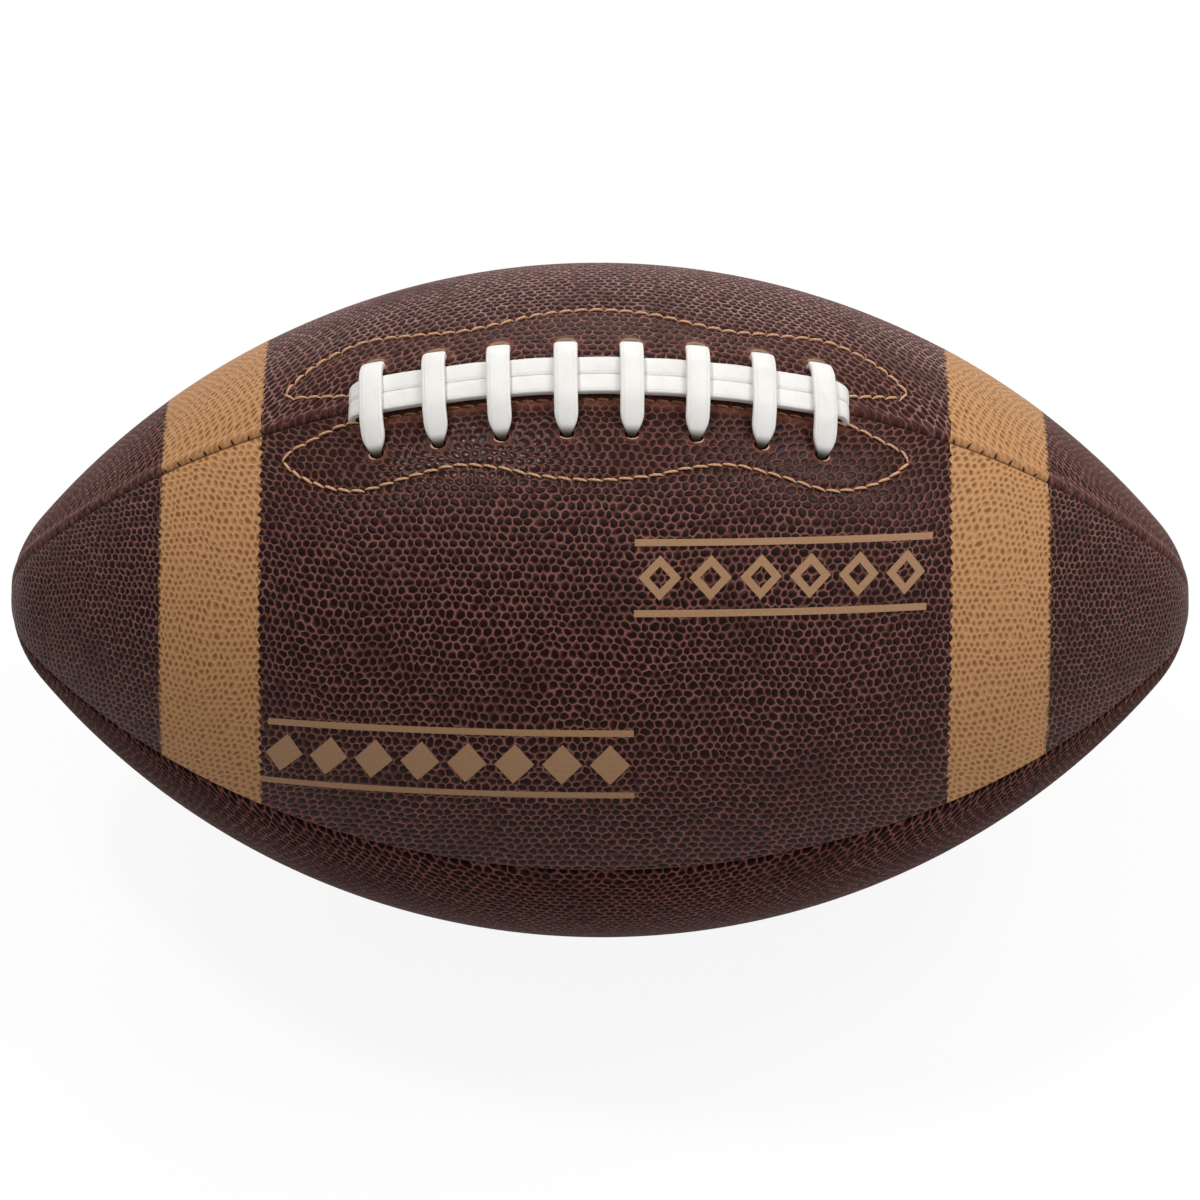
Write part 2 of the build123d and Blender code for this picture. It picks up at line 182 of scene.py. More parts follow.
# Surface of the ball.
def meridian(run):
    """Station, radius and turn of the normal at a distance along the outline from the middle."""
    side = np.where(np.asarray(run) < 0, -1.0, 1.0)
    length = np.abs(run)
    on_belly = length <= BELLY_RUN
    turn = np.where(on_belly, length / BELLY_RADIUS, BELLY_TURN + (length - BELLY_RUN) / NOSE_RADIUS)
    x = np.where(on_belly, BELLY_RADIUS * np.sin(turn), NOSE_X + NOSE_RADIUS * np.sin(turn))
    radius = np.where(on_belly, BELLY_RADIUS * np.cos(turn) - BELLY_DROP, NOSE_RADIUS * np.cos(turn))
    return side * x, radius, side * turn


def run_at(x):
    """Distance along the outline to a station on the belly."""
    return BELLY_RADIUS * math.asin(x / BELLY_RADIUS)


def lace_runs(offset):
    """Runs of the cross straps at a distance from the lace seam."""
    middle = (LACE_COUNT - 1) / 2
    runs = [run_at(LACE_PITCH * (i - middle)) for i in range(LACE_COUNT)]
    leans = np.array(LACE_LEAN) * offset / LACE_HALF_SPAN
    return np.array(runs) + (np.array(LACE_SHIFT) + leans) * MM


def surface(run, angle, height):
    """Points over the ball; the angle turns from the top towards the front."""
    x, radius, turn = meridian(run)
    reach = radius + height * np.cos(turn)
    return np.stack(
        np.broadcast_arrays(x + height * np.sin(turn), -reach * np.sin(angle), reach * np.cos(angle)), -1
    )


def beside_lace(run, offset, height):
    """Points at a distance from the lace seam, with the front side positive."""
    return surface(run, offset / meridian(run)[1], height)


# Curves and fades.
def smooth(value):
    """Smooth step of a value from 0 to 1."""
    value = np.clip(value, 0, 1)
    return value * value * (3 - 2 * value)


def faded(value, fade):
    """Smooth step of a value over a fade."""
    return smooth((value - fade.limit) / fade.width)


def bell(distance, half, power=2):
    """Bell curve of a distance; a higher power has a flatter top."""
    return np.exp(-(distance / half)**power)


def rounded(points, steps):
    """Catmull-Rom curve through points."""
    points = np.asarray(points, float)
    padded = np.vstack([2 * points[0] - points[1], points, 2 * points[-1] - points[-2]])
    t = np.linspace(0, 1, steps, endpoint=False)[:, None]
    spans = []
    for a, b, c, d in zip(padded, padded[1:], padded[2:], padded[3:]):
        slope = (c - a) / 2
        square = a - 2.5 * b + 2 * c - d / 2
        cube = 1.5 * (b - c) + (d - a) / 2
        spans.append(b + slope * t + square * t**2 + cube * t**3)
    return np.vstack(spans + [points[-1:]])


def unit(vectors):
    """Vectors of length 1."""
    return vectors / np.linalg.norm(vectors, axis=1)[:, None]


def travelled(points):
    """Length of a polyline up to each of its points."""
    gaps = np.linalg.norm(np.diff(points, axis=0), axis=1)
    return np.concatenate([[0], np.cumsum(gaps)])


def spaced(points, pitch):
    """Points and directions at an even pitch along a polyline."""
    length = travelled(points)
    count = max(int(round(length[-1] / pitch)), 1)
    middle = (np.arange(count) + 0.5) * length[-1] / count
    places, ahead, behind = (
        np.stack([np.interp(middle + step, length, column) for column in points.T], -1)
        for step in (0, pitch / 4, -pitch / 4)
    )
    return places, unit(ahead - behind)


def ring_turns(sides, backwards=False):
    """Angles round a closed ring."""
    ends = (2 * math.pi, 0) if backwards else (0, 2 * math.pi)
    return np.linspace(*ends, sides, endpoint=False)


# Mesh helpers.
SHARP = math.radians(40)


def add_mesh(name, vertices, faces, material, maps=None):
    """Mesh object with smooth shading and per-vertex values written to UV maps."""
    mesh = bpy.data.meshes.new(name)
    mesh.from_pydata(np.asarray(vertices).tolist(), [], faces)
    mesh.polygons.foreach_set("use_smooth", [True] * len(mesh.polygons))
    corners = np.zeros(len(mesh.loops), int)
    mesh.loops.foreach_get("vertex_index", corners)
    for layer, values in (maps or {}).items():
        uv = mesh.uv_layers.new(name=layer)
        uv.data.foreach_set("uv", np.asarray(values)[corners].astype(np.float32).ravel())
    mesh.update()
    mesh.set_sharp_from_angle(angle=SHARP)
    piece = bpy.data.objects.new(name, mesh)
    bpy.context.scene.collection.objects.link(piece)
    if material:
        mesh.materials.append(material)
    return piece


def belongs(piece, slot, *nodes):
    """Fixes a piece to the ball and hides the nodes that it stands for; the slot is not used."""
    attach(piece, "root")
    if nodes:
        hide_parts(*nodes)


def loop_faces(columns, rows, base=0):
    """Faces of a closed tube of columns, each a closed loop of rows, with both ends capped."""
    i, j = np.meshgrid(np.arange(columns - 1), np.arange(rows), indexing="ij")
    k = (j + 1) % rows
    quads = np.stack([i * rows + j, i * rows + k, (i + 1) * rows + k, (i + 1) * rows + j], -1) + base
    first = [list(range(base + rows - 1, base - 1, -1))]
    last = [list(range(base + (columns - 1) * rows, base + columns * rows))]
    return quads.reshape(-1, 4).tolist() + first + last


def add_shell(name, points, material, maps):
    """Closed tube as a mesh, from points and map values in columns and rows."""
    maps = {layer: values.reshape(-1, 2) for layer, values in maps.items()}
    return add_mesh(name, points.reshape(-1, 3), loop_faces(*points.shape[:2]), material, maps)


def merged(parts):
    """Vertices, faces and map values of several tubes together."""
    vertices, faces, maps = [], [], []
    base = 0
    for points, values in parts:
        columns, rows = points.shape[:2]
        vertices.append(points.reshape(-1, 3))
        maps.append(values.reshape(-1, 2))
        faces += loop_faces(columns, rows, base)
        base += columns * rows
    return np.vstack(vertices), faces, np.vstack(maps)


def blank_map(points):
    """Empty map values for an array of points."""
    return np.zeros(points.shape[:2] + (2,))


# Stitched outline beside the lace seam, and the leather's relief round the lace.
def stitch_outlines(side):
    """Outer and inner stitch lines of one facing, as runs and distances from the seam."""
    place = (STITCH_SHIFT, STITCH_REAR_EXTRA if side == "rear" else 0.0)
    right = np.array(STITCH_OUTER + [STITCH_TIP])
    outer = np.vstack([right[::-1] * (-1, 1), [STITCH_MIDDLE], right])
    right = np.array([STITCH_TIP] + STITCH_INNER)
    inner = np.vstack([right * (-1, 1), right[::-1]])
    return rounded(outer * MM + place, LINE_STEPS), rounded(inner * MM + place, LINE_STEPS)


def distance_to(points, line):
    """Least distance from points to a densely sampled line."""
    flat = points.reshape(-1, 2)
    nearest = np.full(len(flat), np.inf)
    for place in line:
        nearest = np.minimum(nearest, np.linalg.norm(flat - place, axis=1))
    return nearest.reshape(points.shape[:-1])


def hole_rings(run, offset, hole):
    """Distances from the nearest lace hole: round, squeezed, and outwards across the seam."""
    ring = np.full(run.shape, FAR_AWAY)
    arch = np.full(run.shape, FAR_AWAY)
    outward = np.zeros(run.shape)
    for middle in lace_runs(hole.sign * hole.offset):
        along = (run - middle) / hole.long
        across = (offset - hole.offset) / hole.short
        here = np.hypot(along, across)
        outward = np.where(here < ring, across, outward)
        ring = np.minimum(ring, here)
        arch = np.minimum(arch, np.hypot(hole.squeeze * along, across))
    return ring, arch, faded(outward, HOLE_OUTWARD)


def lace_relief(run, offset, side):
    """Height, bare leather and smoothness of a cover panel beside the lace seam."""
    line = np.vstack([rounded(part[::LINE_SKIP], LINE_SKIP) for part in stitch_outlines(side)])
    near = (np.abs(run) < FACING_RUN) & (offset < FACING_OFFSET)
    gap = np.full(run.shape, FAR_AWAY)
    gap[near] = distance_to(np.stack([run, offset], -1)[near], line)
    height = -sum(depth * bell(gap, half) for depth, half in STITCH_DIPS)

    hole = HOLES[side]
    ring, arch, outward = hole_rings(run, offset, hole)
    lift = HOLE_LIFT_NEAR * (1 - outward) + hole.lift * outward
    height += bell(ring - 1, HOLE_LIFT_HALF) * lift
    under = faded(offset, UNDER_ACROSS) * faded(np.abs(run), UNDER_ALONG)
    bare = faded(arch, hole.bare) * (HOLE_BARE_NEAR + (1 - HOLE_BARE_NEAR) * outward)
    flat = np.maximum(UNDER_SMOOTH * under, faded(ring, HOLE_SMOOTH))
    return height, np.maximum(bare, UNDER_BARE * under), flat


# Cover panels: each starts at an angle from the top, and its shift moves its pebbles.
FINE_STEP = 1.15 * MM
COARSE_STEP = 2.3 * MM
Panel = namedtuple("Panel", "name start edges step lace_side shift")
PANELS = [
    Panel("panel_upper_front", 0, (LACED, LIP), FINE_STEP, "front", 0.0),
    Panel("panel_lower_front", 90, (TUCKED, LIP), COARSE_STEP, None, 0.7),
    Panel("panel_lower_rear", 180, (TUCKED, LIP), COARSE_STEP, None, 1.4),
    Panel("panel_upper_rear", 270, (TUCKED, ROLLED), FINE_STEP, "rear", 2.1),
]
Grid = namedtuple("Grid", "runs first second angle height wear zone scale width")


def edge_rows(edge, zone, proud=0.0):
    """Distances from the seam and heights of the rows beside an edge, from the flank upwards."""
    gap = edge.gap - proud
    roll = edge.roll + proud
    top = gap + roll
    shut = SEAM_SHUT + max(-SUNK_SHUT * proud, 0)
    arc = np.linspace(0, math.pi / 2, ROLL_STEPS)
    shoulder = np.linspace(0, 1, SHOULDER_STEPS + 1)[1:]**SHOULDER_POWER
    distance = [[shut] * FLANK_ROWS, gap + roll * (1 - np.cos(arc)), top + (zone - top) * shoulder]
    height = [[-roll - FLANK, -roll - FLANK / 2], roll * (np.sin(arc) - 1), 0 * shoulder]
    return np.concatenate(distance), np.concatenate(height)


def edge_lift(edge, distance):
    """Height of an edge over the ball: a lift that fades out, and a bead with a valley behind it."""
    bead = bell(distance - BEAD_MIDDLE, BEAD_HALF)
    valley = bell(distance - VALLEY_MIDDLE, VALLEY_HALF)
    return edge.lift * np.exp(-distance / edge.reach) + edge.bead * (bead - VALLEY_SHARE * valley)


def pattern_map(panel, grid, run):
    """Flattened leather coordinates, with the pebbles stretched across some edges."""
    radius, turn = meridian(run)[1:]
    middle = math.radians(panel.start + 45)
    cone = np.where(np.abs(turn) < LEAST_TURN, LEAST_TURN, turn)
    slant = radius / np.sin(np.abs(cone))
    swing = (grid.angle - middle) * np.sin(np.abs(cone))
    beyond = np.maximum(np.abs(run) - CLOSE_START, 0) / CLOSE_REACH
    along = run + np.sign(run) * CLOSE_SHARE * CLOSE_REACH * beyond**2 / 2
    along = along - np.sign(cone) * slant * (1 - np.cos(swing))
    across = slant * np.sin(swing) * (1 + CLOSE_SHARE * beyond)
    for edge, distance, sign in zip(panel.edges, (grid.first, grid.second), (1, -1)):
        pull = np.exp(-np.maximum(distance, 0) / STRETCH_REACH)
        across = across + sign * edge.stretch * STRETCH_REACH * pull
    return np.stack([along + panel.shift, across], -1)


def lace_zones(side, runs, first, second):
    """Relief, wear with a painted edge highlight, and zone values of a panel with lace holes."""
    offset = first if side == "front" else second
    along = np.abs(runs)
    relief, bare, flat = lace_relief(runs, offset, side)
    dense = faded(offset, DENSE_ACROSS) * faded(along, DENSE_ALONG)
    tip = faded(along, TIP_ALONG)
    # A painted highlight along the seam edges, mixed in with the bare leather.
    edge_gleam = bell(first, EDGE_GLEAM_ACROSS, 4)
    bead = bell(offset, BEAD_ACROSS, 4) * faded(along, BEAD_ALONG)
    if side == "front":
        edge_gleam = np.maximum(edge_gleam, bell(second, EDGE_GLEAM_ACROSS, 4))
        bead = 0 * bead
    wear = np.stack([np.maximum(bare, EDGE_GLEAM_SHARE * edge_gleam), np.maximum(flat, BEAD_SMOOTH * bead)], -1)
    return relief, wear, np.stack([dense - tip, bead], -1)


def panel_grid(panel, run, zone, middle_rows, proud=0.0):
    """Outer rows of a panel at each run, from one edge across to the other."""
    radius = meridian(run)[1]
    width = radius * math.pi / 2
    scale = np.minimum(1, width / (LEAST_ZONES * zone))[:, None]
    gap = OPENING_HALF * faded(np.abs(run), OPENING_ALONG)[:, None]
    rows = []
    for edge, side in zip(panel.edges, ("front", "rear")):
        distance, height = edge_rows(edge, zone, proud)
        opening = gap * np.exp(-distance / OPENING_SPREAD) * (panel.lace_side == side)
        rows.append((scale * (distance + opening), scale * height))
    (near, near_height), (far, far_height) = rows
    far = width[:, None] - far[:, ::-1]
    share = np.arange(1, middle_rows + 1) / (middle_rows + 1)
    middle = near[:, -1:] + (far[:, :1] - near[:, -1:]) * share
    first = np.hstack([near, middle, far])
    second = width[:, None] - first
    height = np.hstack([near_height, 0 * middle, far_height[:, ::-1]]) + proud
    runs = np.broadcast_to(run[:, None], first.shape)
    ripple = 0.5 + 0.5 * np.cos(2 * math.pi * runs / TICK_PITCH)
    for edge, distance in zip(panel.edges, (first, second)):
        height = height + scale * edge_lift(edge, distance)
        height = height - scale * edge.pucker * ripple * bell(distance, PUCKER_REACH)
    wear = zones = blank_map(first)
    if panel.lace_side:
        relief, wear, zones = lace_zones(panel.lace_side, runs, first, second)
        height = height + relief
    angle = math.radians(panel.start) + first / radius[:, None]
    return Grid(runs, first, second, angle, height, wear, zones, scale, width)


def build_panel(panel, material):
    """Closed shell of one cover panel with its turned-in edges."""
    half = HALF_RUN - TIP_MARGIN
    run = np.linspace(-half, half, int(2 * half / panel.step) + 1)
    middle_rows = int((BALL_RADIUS * math.pi / 2 - 2 * EDGE_ZONE) / panel.step)
    grid = panel_grid(panel, run, EDGE_ZONE, middle_rows)
    pattern = pattern_map(panel, grid, grid.runs)

    near, far = panel.edges
    back_near = grid.scale * (near.gap + TURN_IN)
    back_far = grid.width[:, None] - grid.scale * (far.gap + TURN_IN)
    inside = back_far + (back_near - back_far) * np.linspace(0, 1, INNER_ROWS)
    inner = np.hstack([back_far, inside, back_near])
    depths = np.array([far.roll + FLANK] + [LEATHER] * INNER_ROWS + [near.roll + FLANK])
    inner_angle = math.radians(panel.start) + inner / meridian(run)[1][:, None]
    angle = np.hstack([grid.angle, inner_angle])
    points = surface(run[:, None], angle, np.hstack([grid.height, -grid.scale * depths]))

    blank = blank_map(inner)
    layers = {"pattern": (pattern, blank), "wear": (grid.wear, blank + 1), "zone": (grid.zone, blank)}
    maps = {name: np.concatenate(parts, 1) for name, parts in layers.items()}
    return add_shell("cover_" + panel.name, points, material, maps)


def hole_cutter(places, half_long, half_short):
    """Upright elliptical plugs through the leather at runs and angles."""
    turn = ring_turns(HOLE_SIDES, backwards=True)
    parts = []
    for run, angle in places:
        runs = run + half_long * np.cos(turn)
        angles = angle + half_short * np.sin(turn) / meridian(run)[1]
        rings = np.stack([surface(runs, angles, height) for height in PLUG_HEIGHTS])
        parts.append((rings, blank_map(rings) + 1))
    vertices, faces, maps = merged(parts)
    return add_mesh("cutter", vertices, faces, None, {"pattern": 0 * maps, "wear": maps, "zone": 0 * maps})


def drill(piece, cutter):
    """Cuts the plugs out of a piece and keeps the result as its mesh."""
    bore = piece.modifiers.new("holes", "BOOLEAN")
    bore.operation = "DIFFERENCE"
    bore.solver = "EXACT"
    bore.object = cutter
    shaped = bpy.data.meshes.new_from_object(piece.evaluated_get(bpy.context.evaluated_depsgraph_get()))
    piece.modifiers.clear()
    piece.data = shaped
    shaped.set_sharp_from_angle(angle=SHARP)
    bpy.data.objects.remove(cutter)


# Stripes: thin leather strips that follow the panel, with pinked edges.
TOOTH_PITCH = 2.3 * MM
TOOTH_HALF = 0.5 * MM
TOOTH_RANGE = (0.55, 1.25)
TOOTH_SEED = 5
STRIPE_SHIFT = 1.4 * MM
STRIPE_PROUD = 0.06 * MM
STRIPE_DEEP = 0.4 * MM
STRIPE_ZONE = 2.8 * MM
STRIPE_STEP = 1.6 * MM
# Depth over which a stripe darkens as it turns down into a seam: painted shade.
STRIPE_SHADE_DEPTH = Fade(0.3 * MM, 0.9 * MM)


def build_stripe(panel, node, material):
    """One stripe on a panel, between the stations of its node."""
    low, high = (run_at(corner.x) + STRIPE_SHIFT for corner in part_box(node))
    run = np.linspace(low, high, int((high - low) / STRIPE_STEP) + 1)
    width = meridian((low + high) / 2)[1] * math.pi / 2
    middle_rows = 2 * int((width - 2 * STRIPE_ZONE) / TOOTH_PITCH) + 1
    close_rows = FLANK_ROWS + ROLL_STEPS + SHOULDER_STEPS
    wobble = np.random.default_rng(TOOTH_SEED).uniform(*TOOTH_RANGE, middle_rows)
    teeth = np.zeros(middle_rows + 2 * close_rows)
    teeth[close_rows:-close_rows] = TOOTH_HALF * wobble * (-1.0)**np.arange(middle_rows)
    sides = []
    for proud in (STRIPE_PROUD, -STRIPE_DEEP):
        grid = panel_grid(panel, run, STRIPE_ZONE, middle_rows, proud)
        # Painted shade where the stripe turns down into a seam.
        zone = np.stack([faded(-grid.height, STRIPE_SHADE_DEPTH), grid.zone[..., 1]], -1)
        runs = grid.runs.copy()
        runs[0] += teeth
        runs[-1] -= teeth
        pattern = pattern_map(panel, grid, runs)
        sides.append((surface(runs, grid.angle, grid.height), pattern, zone))
    points, pattern, zone = (np.concatenate([top, under[:, ::-1]], 1) for top, under in zip(*sides))
    return add_shell("pale_" + node, points, material, {"pattern": pattern, "zone": zone})


# Lace: paths are points in millimetres, offset or run first and then height.
STRAP_SIDES = 28
STRAP_STEPS = 6
STRAP_FLATTER = 1.5
STRAP_CROWN = 0.10
STRAP_NUDGE = 0.5 * MM
CROSS_PATH = [
    (13.4, -4.6), (13.5, -1.6), (13.25, 0.2), (12.1, 1.5), (9.5, 2.9), (6.2, 4.05), (3.0, 4.3), (-0.5, 4.3),
    (-4.0, 4.3), (-7.0, 3.9), (-9.1, 3.1), (-10.9, 2.2), (-12.0, 0.9), (-12.3, -1.2), (-12.2, -4.6),
]
TIP_START = 9.3 * MM
TIP_LENGTH = 4.45 * MM
TIP_SHARE = 0.94
REAR_WIDTH = 5.2 * MM
REAR_NARROW = Fade(10.6 * MM, 1.8 * MM)
CROSS_ROUNDING = 0.34
CROSS_CLEAR = (0.0, 1.6 * MM)
RUNNER_WIDTH = 5.3 * MM
RUNNER_OVERLAP = 0.06 * MM
RUNNER_HEIGHT = 2.05 * MM
RUNNER_SHIFT = -1.35 * MM
RUNNER_MIDDLE = -0.5 * MM
RUNNER_AT = np.arange(-45, 46, 7.7) * MM
RUNNER_PRESS = 0.12 * MM
RUNNER_END = [(59.9, -4.6), (60.1, -1.4), (59.7, 0.5), (58.4, 1.8), (56.0, 2.35), (53.9, 2.2)]
TUCK = Fade(56 * MM, 3 * MM)
TUCK_IN = 0.05
TUCK_NARROW = 0.06
RUNNER_ROUNDING = 0.32
RUNNER_CLEAR = (2 * MM, 2 * MM)


def strap_tube(points, across, widths, rounding, clear):
    """Strap with rounded edges along points; the clear lengths put off the painted shade of its sunk ends.
    """
    upward = unit(np.cross(across, unit(np.gradient(points, axis=0))))
    turn = ring_turns(STRAP_SIDES, backwards=True)
    wide = np.sign(np.cos(turn)) * np.abs(np.cos(turn))**rounding
    tall = np.sign(np.sin(turn)) * np.abs(np.sin(turn))**(STRAP_FLATTER * rounding)
    crown = 1 + STRAP_CROWN * (1 - wide**2) * (tall > 0)
    aside = wide * widths[:, None] / 2
    ring = (
        points[:, None]
        + across[:, None] * aside[..., None]
        + upward[:, None] * (tall * crown)[:, None] * LACE_THICKNESS / 2
    )
    length = travelled(points)
    length = np.minimum(length + clear[0], length[-1] - length + clear[1])
    return ring, np.stack(np.broadcast_arrays(length[:, None], aside), -1)


def cross_strap(number):
    """One strap over the runners, down through a hole on each side."""
    offset, height = rounded(np.array(CROSS_PATH) * MM, STRAP_STEPS).T
    runs = np.array([lace_runs(place)[number] for place in offset])
    points = beside_lace(runs, offset, height)
    across = unit(beside_lace(runs + STRAP_NUDGE, offset, height) - points)
    tip = np.clip((offset - TIP_START) / TIP_LENGTH, 0, TIP_SHARE)
    rear = faded(-offset, REAR_NARROW)
    widths = LACE_WIDTH * np.sqrt(1 - tip**2) - (LACE_WIDTH - REAR_WIDTH) * rear
    return strap_tube(points, across, widths, CROSS_ROUNDING, CROSS_CLEAR)


def runner_strap(side):
    """One of the two straps along the seam, bent down at both ends."""
    end = np.array(RUNNER_END) * MM
    press = RUNNER_PRESS * np.cos(2 * math.pi * (RUNNER_AT / LACE_PITCH + 0.5))
    middle = np.stack([RUNNER_AT, RUNNER_HEIGHT - press], -1)
    run, height = rounded(np.vstack([end * (-1, 1), middle, end[::-1]]), STRAP_STEPS).T
    offset = side * (RUNNER_WIDTH - RUNNER_OVERLAP) / 2 + RUNNER_SHIFT
    tuck = faded(np.abs(run), TUCK)
    points = beside_lace(run + RUNNER_MIDDLE, offset * (1 - TUCK_IN * tuck), height)
    across = np.tile([0.0, 1.0, 0.0], (len(points), 1))
    widths = RUNNER_WIDTH * (1 - TUCK_NARROW * tuck)
    return strap_tube(points, across, widths, RUNNER_ROUNDING, RUNNER_CLEAR)


# Cut edges of the lace holes, and threads.
THREAD_SIDES = 8
Rim = namedtuple("Rim", "radius spread height lean")
RIMS = {"front": Rim(0.2 * MM, 0.85, 0.02 * MM, -0.95), "rear": Rim(0.42 * MM, 1.15, 0.1 * MM, 0.0)}
RIM_LEAN_RUN = 40 * MM
RIM_OUT = 0.1 * MM
RIM_STEPS = 15
RIM_LEAST = 0.02
STITCH_PITCH = 3.6 * MM
STITCH_RADIUS = 0.32 * MM
STITCH_TAPER = 0.55
STITCH_RISE = 0.16 * MM
STITCH_DROP = 0.62 * MM
STITCH_SLANT = math.radians(7)
STITCH_STEPS = 9
# Stitches beside the runners are sunk and get a darker thread as painted shade.
SHADE_STITCH_OFFSET = 8 * MM
SHADE_STITCH_RUN = 56 * MM
SHADE_STITCH_SINK = 0.22 * MM
TICK_RUNS = np.arange(64 * MM, 150 * MM, TICK_PITCH)
TICK_SEED = 11
TICK_LENGTH = (0.35, 0.62)
TICK_SLANT = 0.35
TICK_STRAY = 0.3
TICK_OFFSET = 0.22 * MM
TICK_HALF = 0.36 * MM
TICK_THICK = 0.24 * MM
TICK_TAPER = 0.45
TICK_LEAST = 0.05
TICK_STEPS = 7


def hole_rims(side):
    """Cut edge of the leather, as a crescent on the outer side of each hole."""
    hole = HOLES[side]
    rim = RIMS[side]
    turn = ring_turns(THREAD_SIDES, backwards=True)[None]
    t = np.linspace(-1, 1, RIM_STEPS)[:, None]
    thick = rim.radius * np.sqrt(np.maximum(1 - t**2, RIM_LEAST))
    reach = 1 + (RIM_OUT + thick * np.cos(turn)) / hole.short
    parts = []
    for run in lace_runs(hole.sign * hole.offset):
        place = math.pi / 2 + rim.lean * np.clip(run / RIM_LEAN_RUN, -1, 1) + rim.spread * t
        runs = run + hole.long * reach * np.cos(place)
        offset = hole.sign * (hole.offset + hole.short * reach * np.sin(place))
        points = beside_lace(runs, offset, rim.height + thick * np.sin(turn))[:, ::hole.sign]
        parts.append((points, blank_map(points)))
    return merged(parts)


def stitch_tube(place, along, sign, sink):
    """One sewn stitch lying on the leather, with both ends drawn down into it."""
    t = np.linspace(-1, 1, STITCH_STEPS)[:, None]
    turn = ring_turns(THREAD_SIDES)[None]
    cos, sin = math.cos(STITCH_SLANT), math.sin(STITCH_SLANT)
    ahead = np.array([[cos, -sin], [sin, cos]]) @ along
    aside = np.array([-ahead[1], ahead[0]])
    radius = STITCH_RADIUS * (1 - STITCH_TAPER * np.abs(t)**3)
    reach = t * STITCH_PITCH * 0.5
    run = place[0] + ahead[0] * reach + aside[0] * radius * np.cos(turn)
    offset = place[1] + ahead[1] * reach + aside[1] * radius * np.cos(turn)
    height = STITCH_RISE - STITCH_DROP * np.abs(t)**4 + radius * np.sin(turn) - sink
    values = np.stack(np.broadcast_arrays(reach, turn), -1)
    return beside_lace(run, sign * offset, height)[:, ::-sign], values[:, ::-sign]


def stitch_row(side, shaded):
    """Stitches of one facing, either in the open or sunk beside the runners, in their shade."""
    parts = []
    for line in stitch_outlines(side):
        for place, along in zip(*spaced(line, STITCH_PITCH)):
            in_shade = place[1] < SHADE_STITCH_OFFSET and abs(place[0] - RUNNER_MIDDLE) < SHADE_STITCH_RUN
            if in_shade == shaded:
                parts.append(stitch_tube(place, along, HOLES[side].sign, SHADE_STITCH_SINK * shaded))
    return merged(parts)


def seam_ticks(side):
    """Dark thread over the rear panel's rolled edge, along the sewn part of the lace seam."""
    distance, height = edge_rows(ROLLED, EDGE_ZONE)
    chance = np.random.default_rng(TICK_SEED + side)
    turn = ring_turns(THREAD_SIDES)[None]
    t = np.linspace(-1, 1, TICK_STEPS)[:, None]
    parts = []
    for run in TICK_RUNS:
        length = chance.uniform(*TICK_LENGTH) * MM
        slant = chance.uniform(-TICK_SLANT, TICK_SLANT) * MM
        run += chance.uniform(-TICK_STRAY, TICK_STRAY) * MM
        offset = TICK_OFFSET + length * (1 + t) + 0 * turn
        rise = np.interp(offset, distance[FLANK_ROWS:], height[FLANK_ROWS:]) - ROLLED.pucker
        rise = rise + edge_lift(ROLLED, offset)
        half = TICK_HALF * np.sqrt(np.maximum(1 - np.abs(t)**3, TICK_LEAST)) * (1 - TICK_TAPER * t)
        runs = side * run + slant * t + half * np.cos(turn)
        points = beside_lace(runs, -offset, rise + TICK_THICK * np.sin(turn))[:, ::-1]
        parts.append((points, blank_map(points)))
    return merged(parts)


# Materials. Colours are linear, and pairs run from dark to light or from clean to soiled.
RED_RIDGE = (0.275, 0.111, 0.090, 1)
DULL_RIDGE = (0.205, 0.080, 0.062, 1)
# Pale ridges of the rear panel: a painted highlight of the rear lamp seen at a grazing view.
HIGHLIGHT_RIDGE = (0.490, 0.276, 0.242, 1)
TAN_RIDGE = (0.270, 0.124, 0.100, 1)
END_RIDGE = (0.300, 0.132, 0.108, 1)
VALLEY_DYE = (0.054, 0.0165, 0.0135, 1)
VALLEY_PATCH = (0.080, 0.029, 0.023, 1)
DOT_DYE = ((0.008, 0.0025, 0.0018, 1), (0.018, 0.0065, 0.005, 1))
# Lighter pebble tops beside the lace: a painted sheen.
DOT_SHEEN = (0.036, 0.0140, 0.0115, 1)
RAW_LEATHER = ((0.12, 0.036, 0.019, 1), (0.29, 0.112, 0.060, 1))
# Pleat colours on the bead run from painted shade in the hollows to lighter crests.
BEAD_PLEAT_SHADE = ((0.056, 0.0190, 0.0155, 1), (0.114, 0.042, 0.035, 1))
TIP_PLEAT_SHADE = ((0.085, 0.036, 0.031, 1), (0.190, 0.085, 0.074, 1))
PRINT_INK = ((0.33, 0.185, 0.098, 1), (0.43, 0.25, 0.138, 1))
SHEEN_TINT = (0.9, 0.48, 0.42, 1)
STRIPE_PALE = ((0.462, 0.226, 0.092, 1), (0.592, 0.324, 0.153, 1))
STRIPE_DOT = (0.218, 0.085, 0.026, 1)
STRIPE_PATCH = (0.398, 0.190, 0.072, 1)
# Painted shade of a stripe inside a seam.
STRIPE_SEAM_SHADE = (0.045, 0.021, 0.009, 1)
LACE_WHITE = ((0.84, 0.822, 0.788, 1), (0.75, 0.722, 0.680, 1))
LACE_GROOVE = (0.66, 0.63, 0.58, 1)
# Painted shade for the strap ends inside the lace holes.
LACE_SUNK_SHADE = (0.075, 0.058, 0.045, 1)
FLOOR_GREY = ((0.58, 0.58, 0.58, 1), (0.62, 0.62, 0.62, 1))
WHITE = (1, 1, 1, 1)

